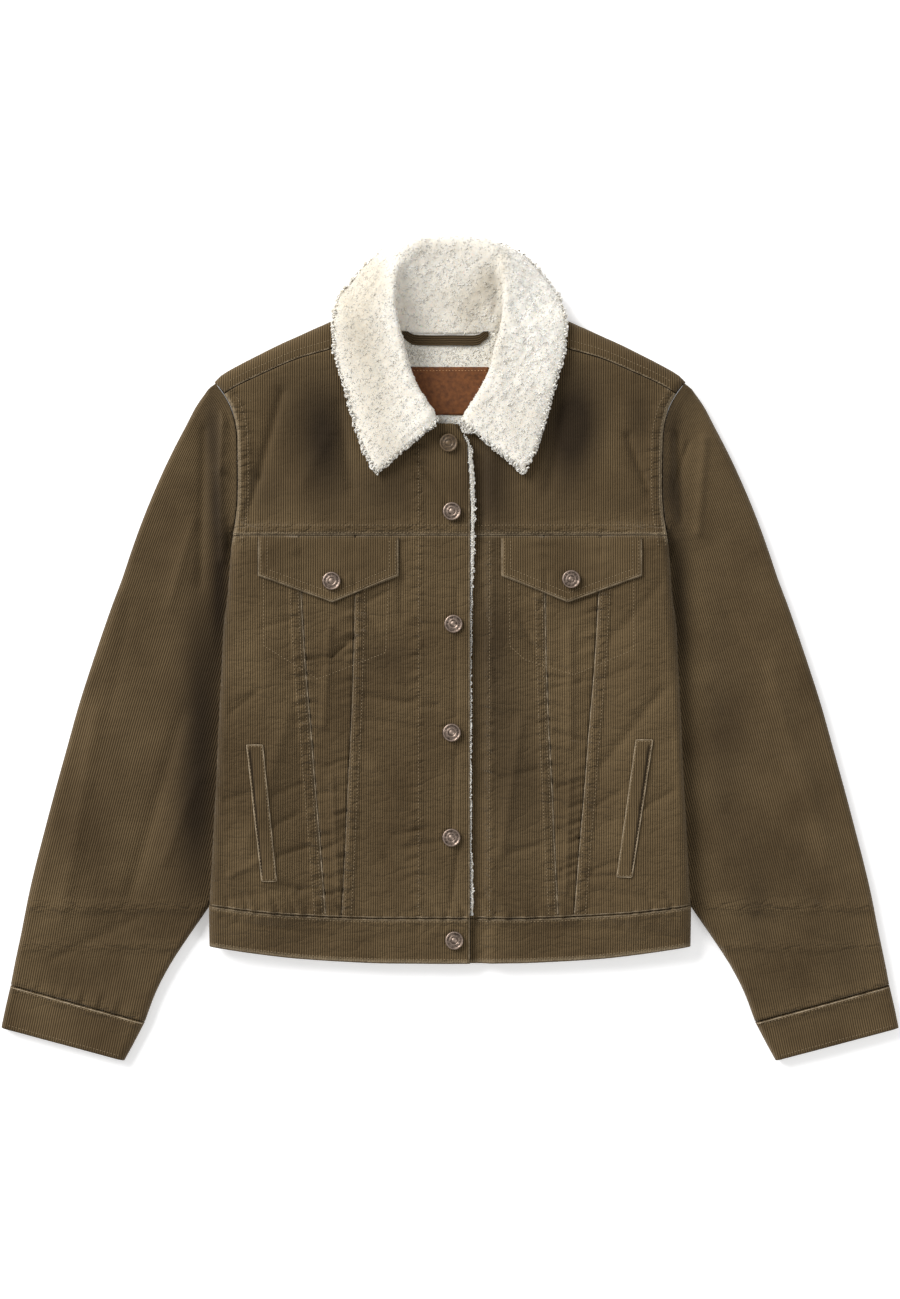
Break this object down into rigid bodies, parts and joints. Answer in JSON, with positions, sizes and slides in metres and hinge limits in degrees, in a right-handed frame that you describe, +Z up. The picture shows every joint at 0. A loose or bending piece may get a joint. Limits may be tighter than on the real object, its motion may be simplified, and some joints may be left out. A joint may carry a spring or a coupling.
{
  "type": "sherpa lined jacket",
  "caption": "Short corduroy jacket with a sherpa collar, buttoned up and lying flat on its back with the sleeves beside the body.",
  "frame": {"origin": "centre of the bounding box at the table", "axes": "+X across the sleeves to the viewer's right, +Y from the hem to the collar, +Z up from the table"},
  "size_m": [0.8406, 0.7696, 0.0411],
  "materials": {
    "corduroy": "fine ribbed cotton corduroy, olive brown, worn lighter along the seams",
    "sherpa": "short curled ivory pile",
    "label_leather": "smooth brown leather, left blank",
    "button_metal": "aged copper brown metal"
  },
  "bodies": {
    "root": {"front_yoke_right": "corduroy", "front_yoke_left": "corduroy", "front_centre_right": "corduroy", "front_centre_left": "corduroy", "front_insert_right": "corduroy", "front_insert_left": "corduroy", "front_side_right": "corduroy", "front_side_left": "corduroy", "back_panel": "corduroy", "back_yoke": "corduroy", "waistband_right": "corduroy", "waistband_left": "corduroy", "waistband_back": "corduroy", "sleeve_top_right": "corduroy", "sleeve_under_right": "corduroy", "cuff_top_right": "corduroy", "cuff_under_right": "corduroy", "sleeve_top_left": "corduroy", "sleeve_under_left": "corduroy", "cuff_top_left": "corduroy", "cuff_under_left": "corduroy", "pocket_flap_right": "corduroy", "pocket_flap_left": "corduroy", "hand_welt_right": "corduroy", "hand_welt_left": "corduroy", "hanger_loop": "corduroy", "collar": "sherpa", "neck_lining": "sherpa", "front_edge_pile": "sherpa", "neck_label": "label_leather", "button_neck": "button_metal", "button_yoke": "button_metal", "button_chest": "button_metal", "button_middle": "button_metal", "button_low": "button_metal", "button_waist": "button_metal", "button_flap_right": "button_metal", "button_flap_left": "button_metal"}
  },
  "joints": []
}
